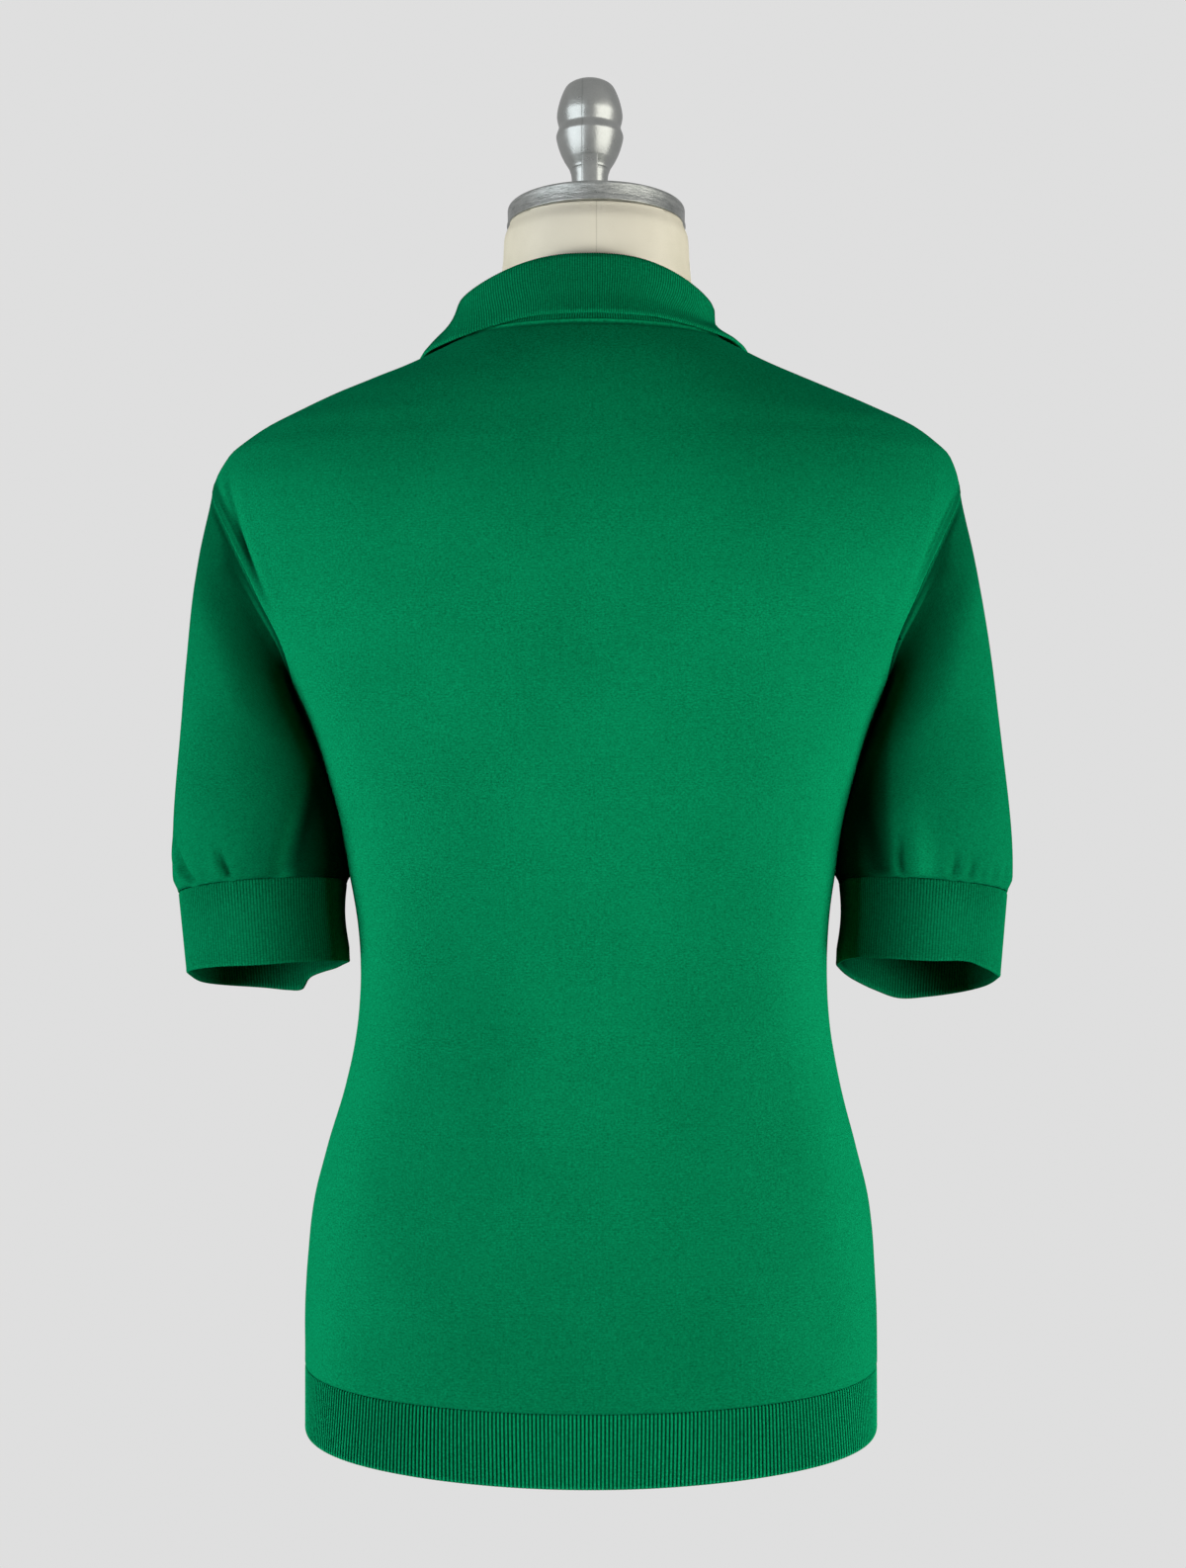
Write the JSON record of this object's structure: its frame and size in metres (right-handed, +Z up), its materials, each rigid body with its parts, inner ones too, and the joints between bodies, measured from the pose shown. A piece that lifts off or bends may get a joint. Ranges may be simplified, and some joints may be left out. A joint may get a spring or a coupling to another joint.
{
  "type": "polo shirt on a dress form",
  "caption": "Fine knitted polo shirt with a fold-over collar, buttoned placket, ribbed cuffs and ribbed hem, worn on a limbless dress form with a metal neck cap and finial",
  "frame": {"origin": "centre of the dress form's flat base, on the floor", "axes": "+Z up; -Y is the front of the shirt, +Y its back; +X is the wearer's left; -X the wearer's right"},
  "size_m": [0.5127, 0.2462, 0.8323],
  "materials": {
    "knit_jersey": "fine plain-knit jersey, bright green, smooth with a soft sheen",
    "knit_rib": "fine one-by-one ribbed knit in the same green",
    "button_resin": "polished resin dyed to match the cloth",
    "linen": "natural linen stretched smooth over the form",
    "cast_aluminium": "cast aluminium, brushed cap and polished finial"
  },
  "bodies": {
    "root": {"dress_form": "linen", "neck_cap": "cast_aluminium", "finial": "cast_aluminium", "back_panel": "knit_jersey", "front_panel": "knit_jersey", "sleeve_left": "knit_jersey", "sleeve_right": "knit_jersey", "cuff_left": "knit_rib", "cuff_right": "knit_rib", "hem_back": "knit_rib", "hem_front": "knit_rib", "collar": "knit_rib", "placket_under": "knit_rib", "placket_upper": "knit_rib", "button_1": "button_resin", "button_2": "button_resin", "button_3": "button_resin"}
  },
  "joints": []
}
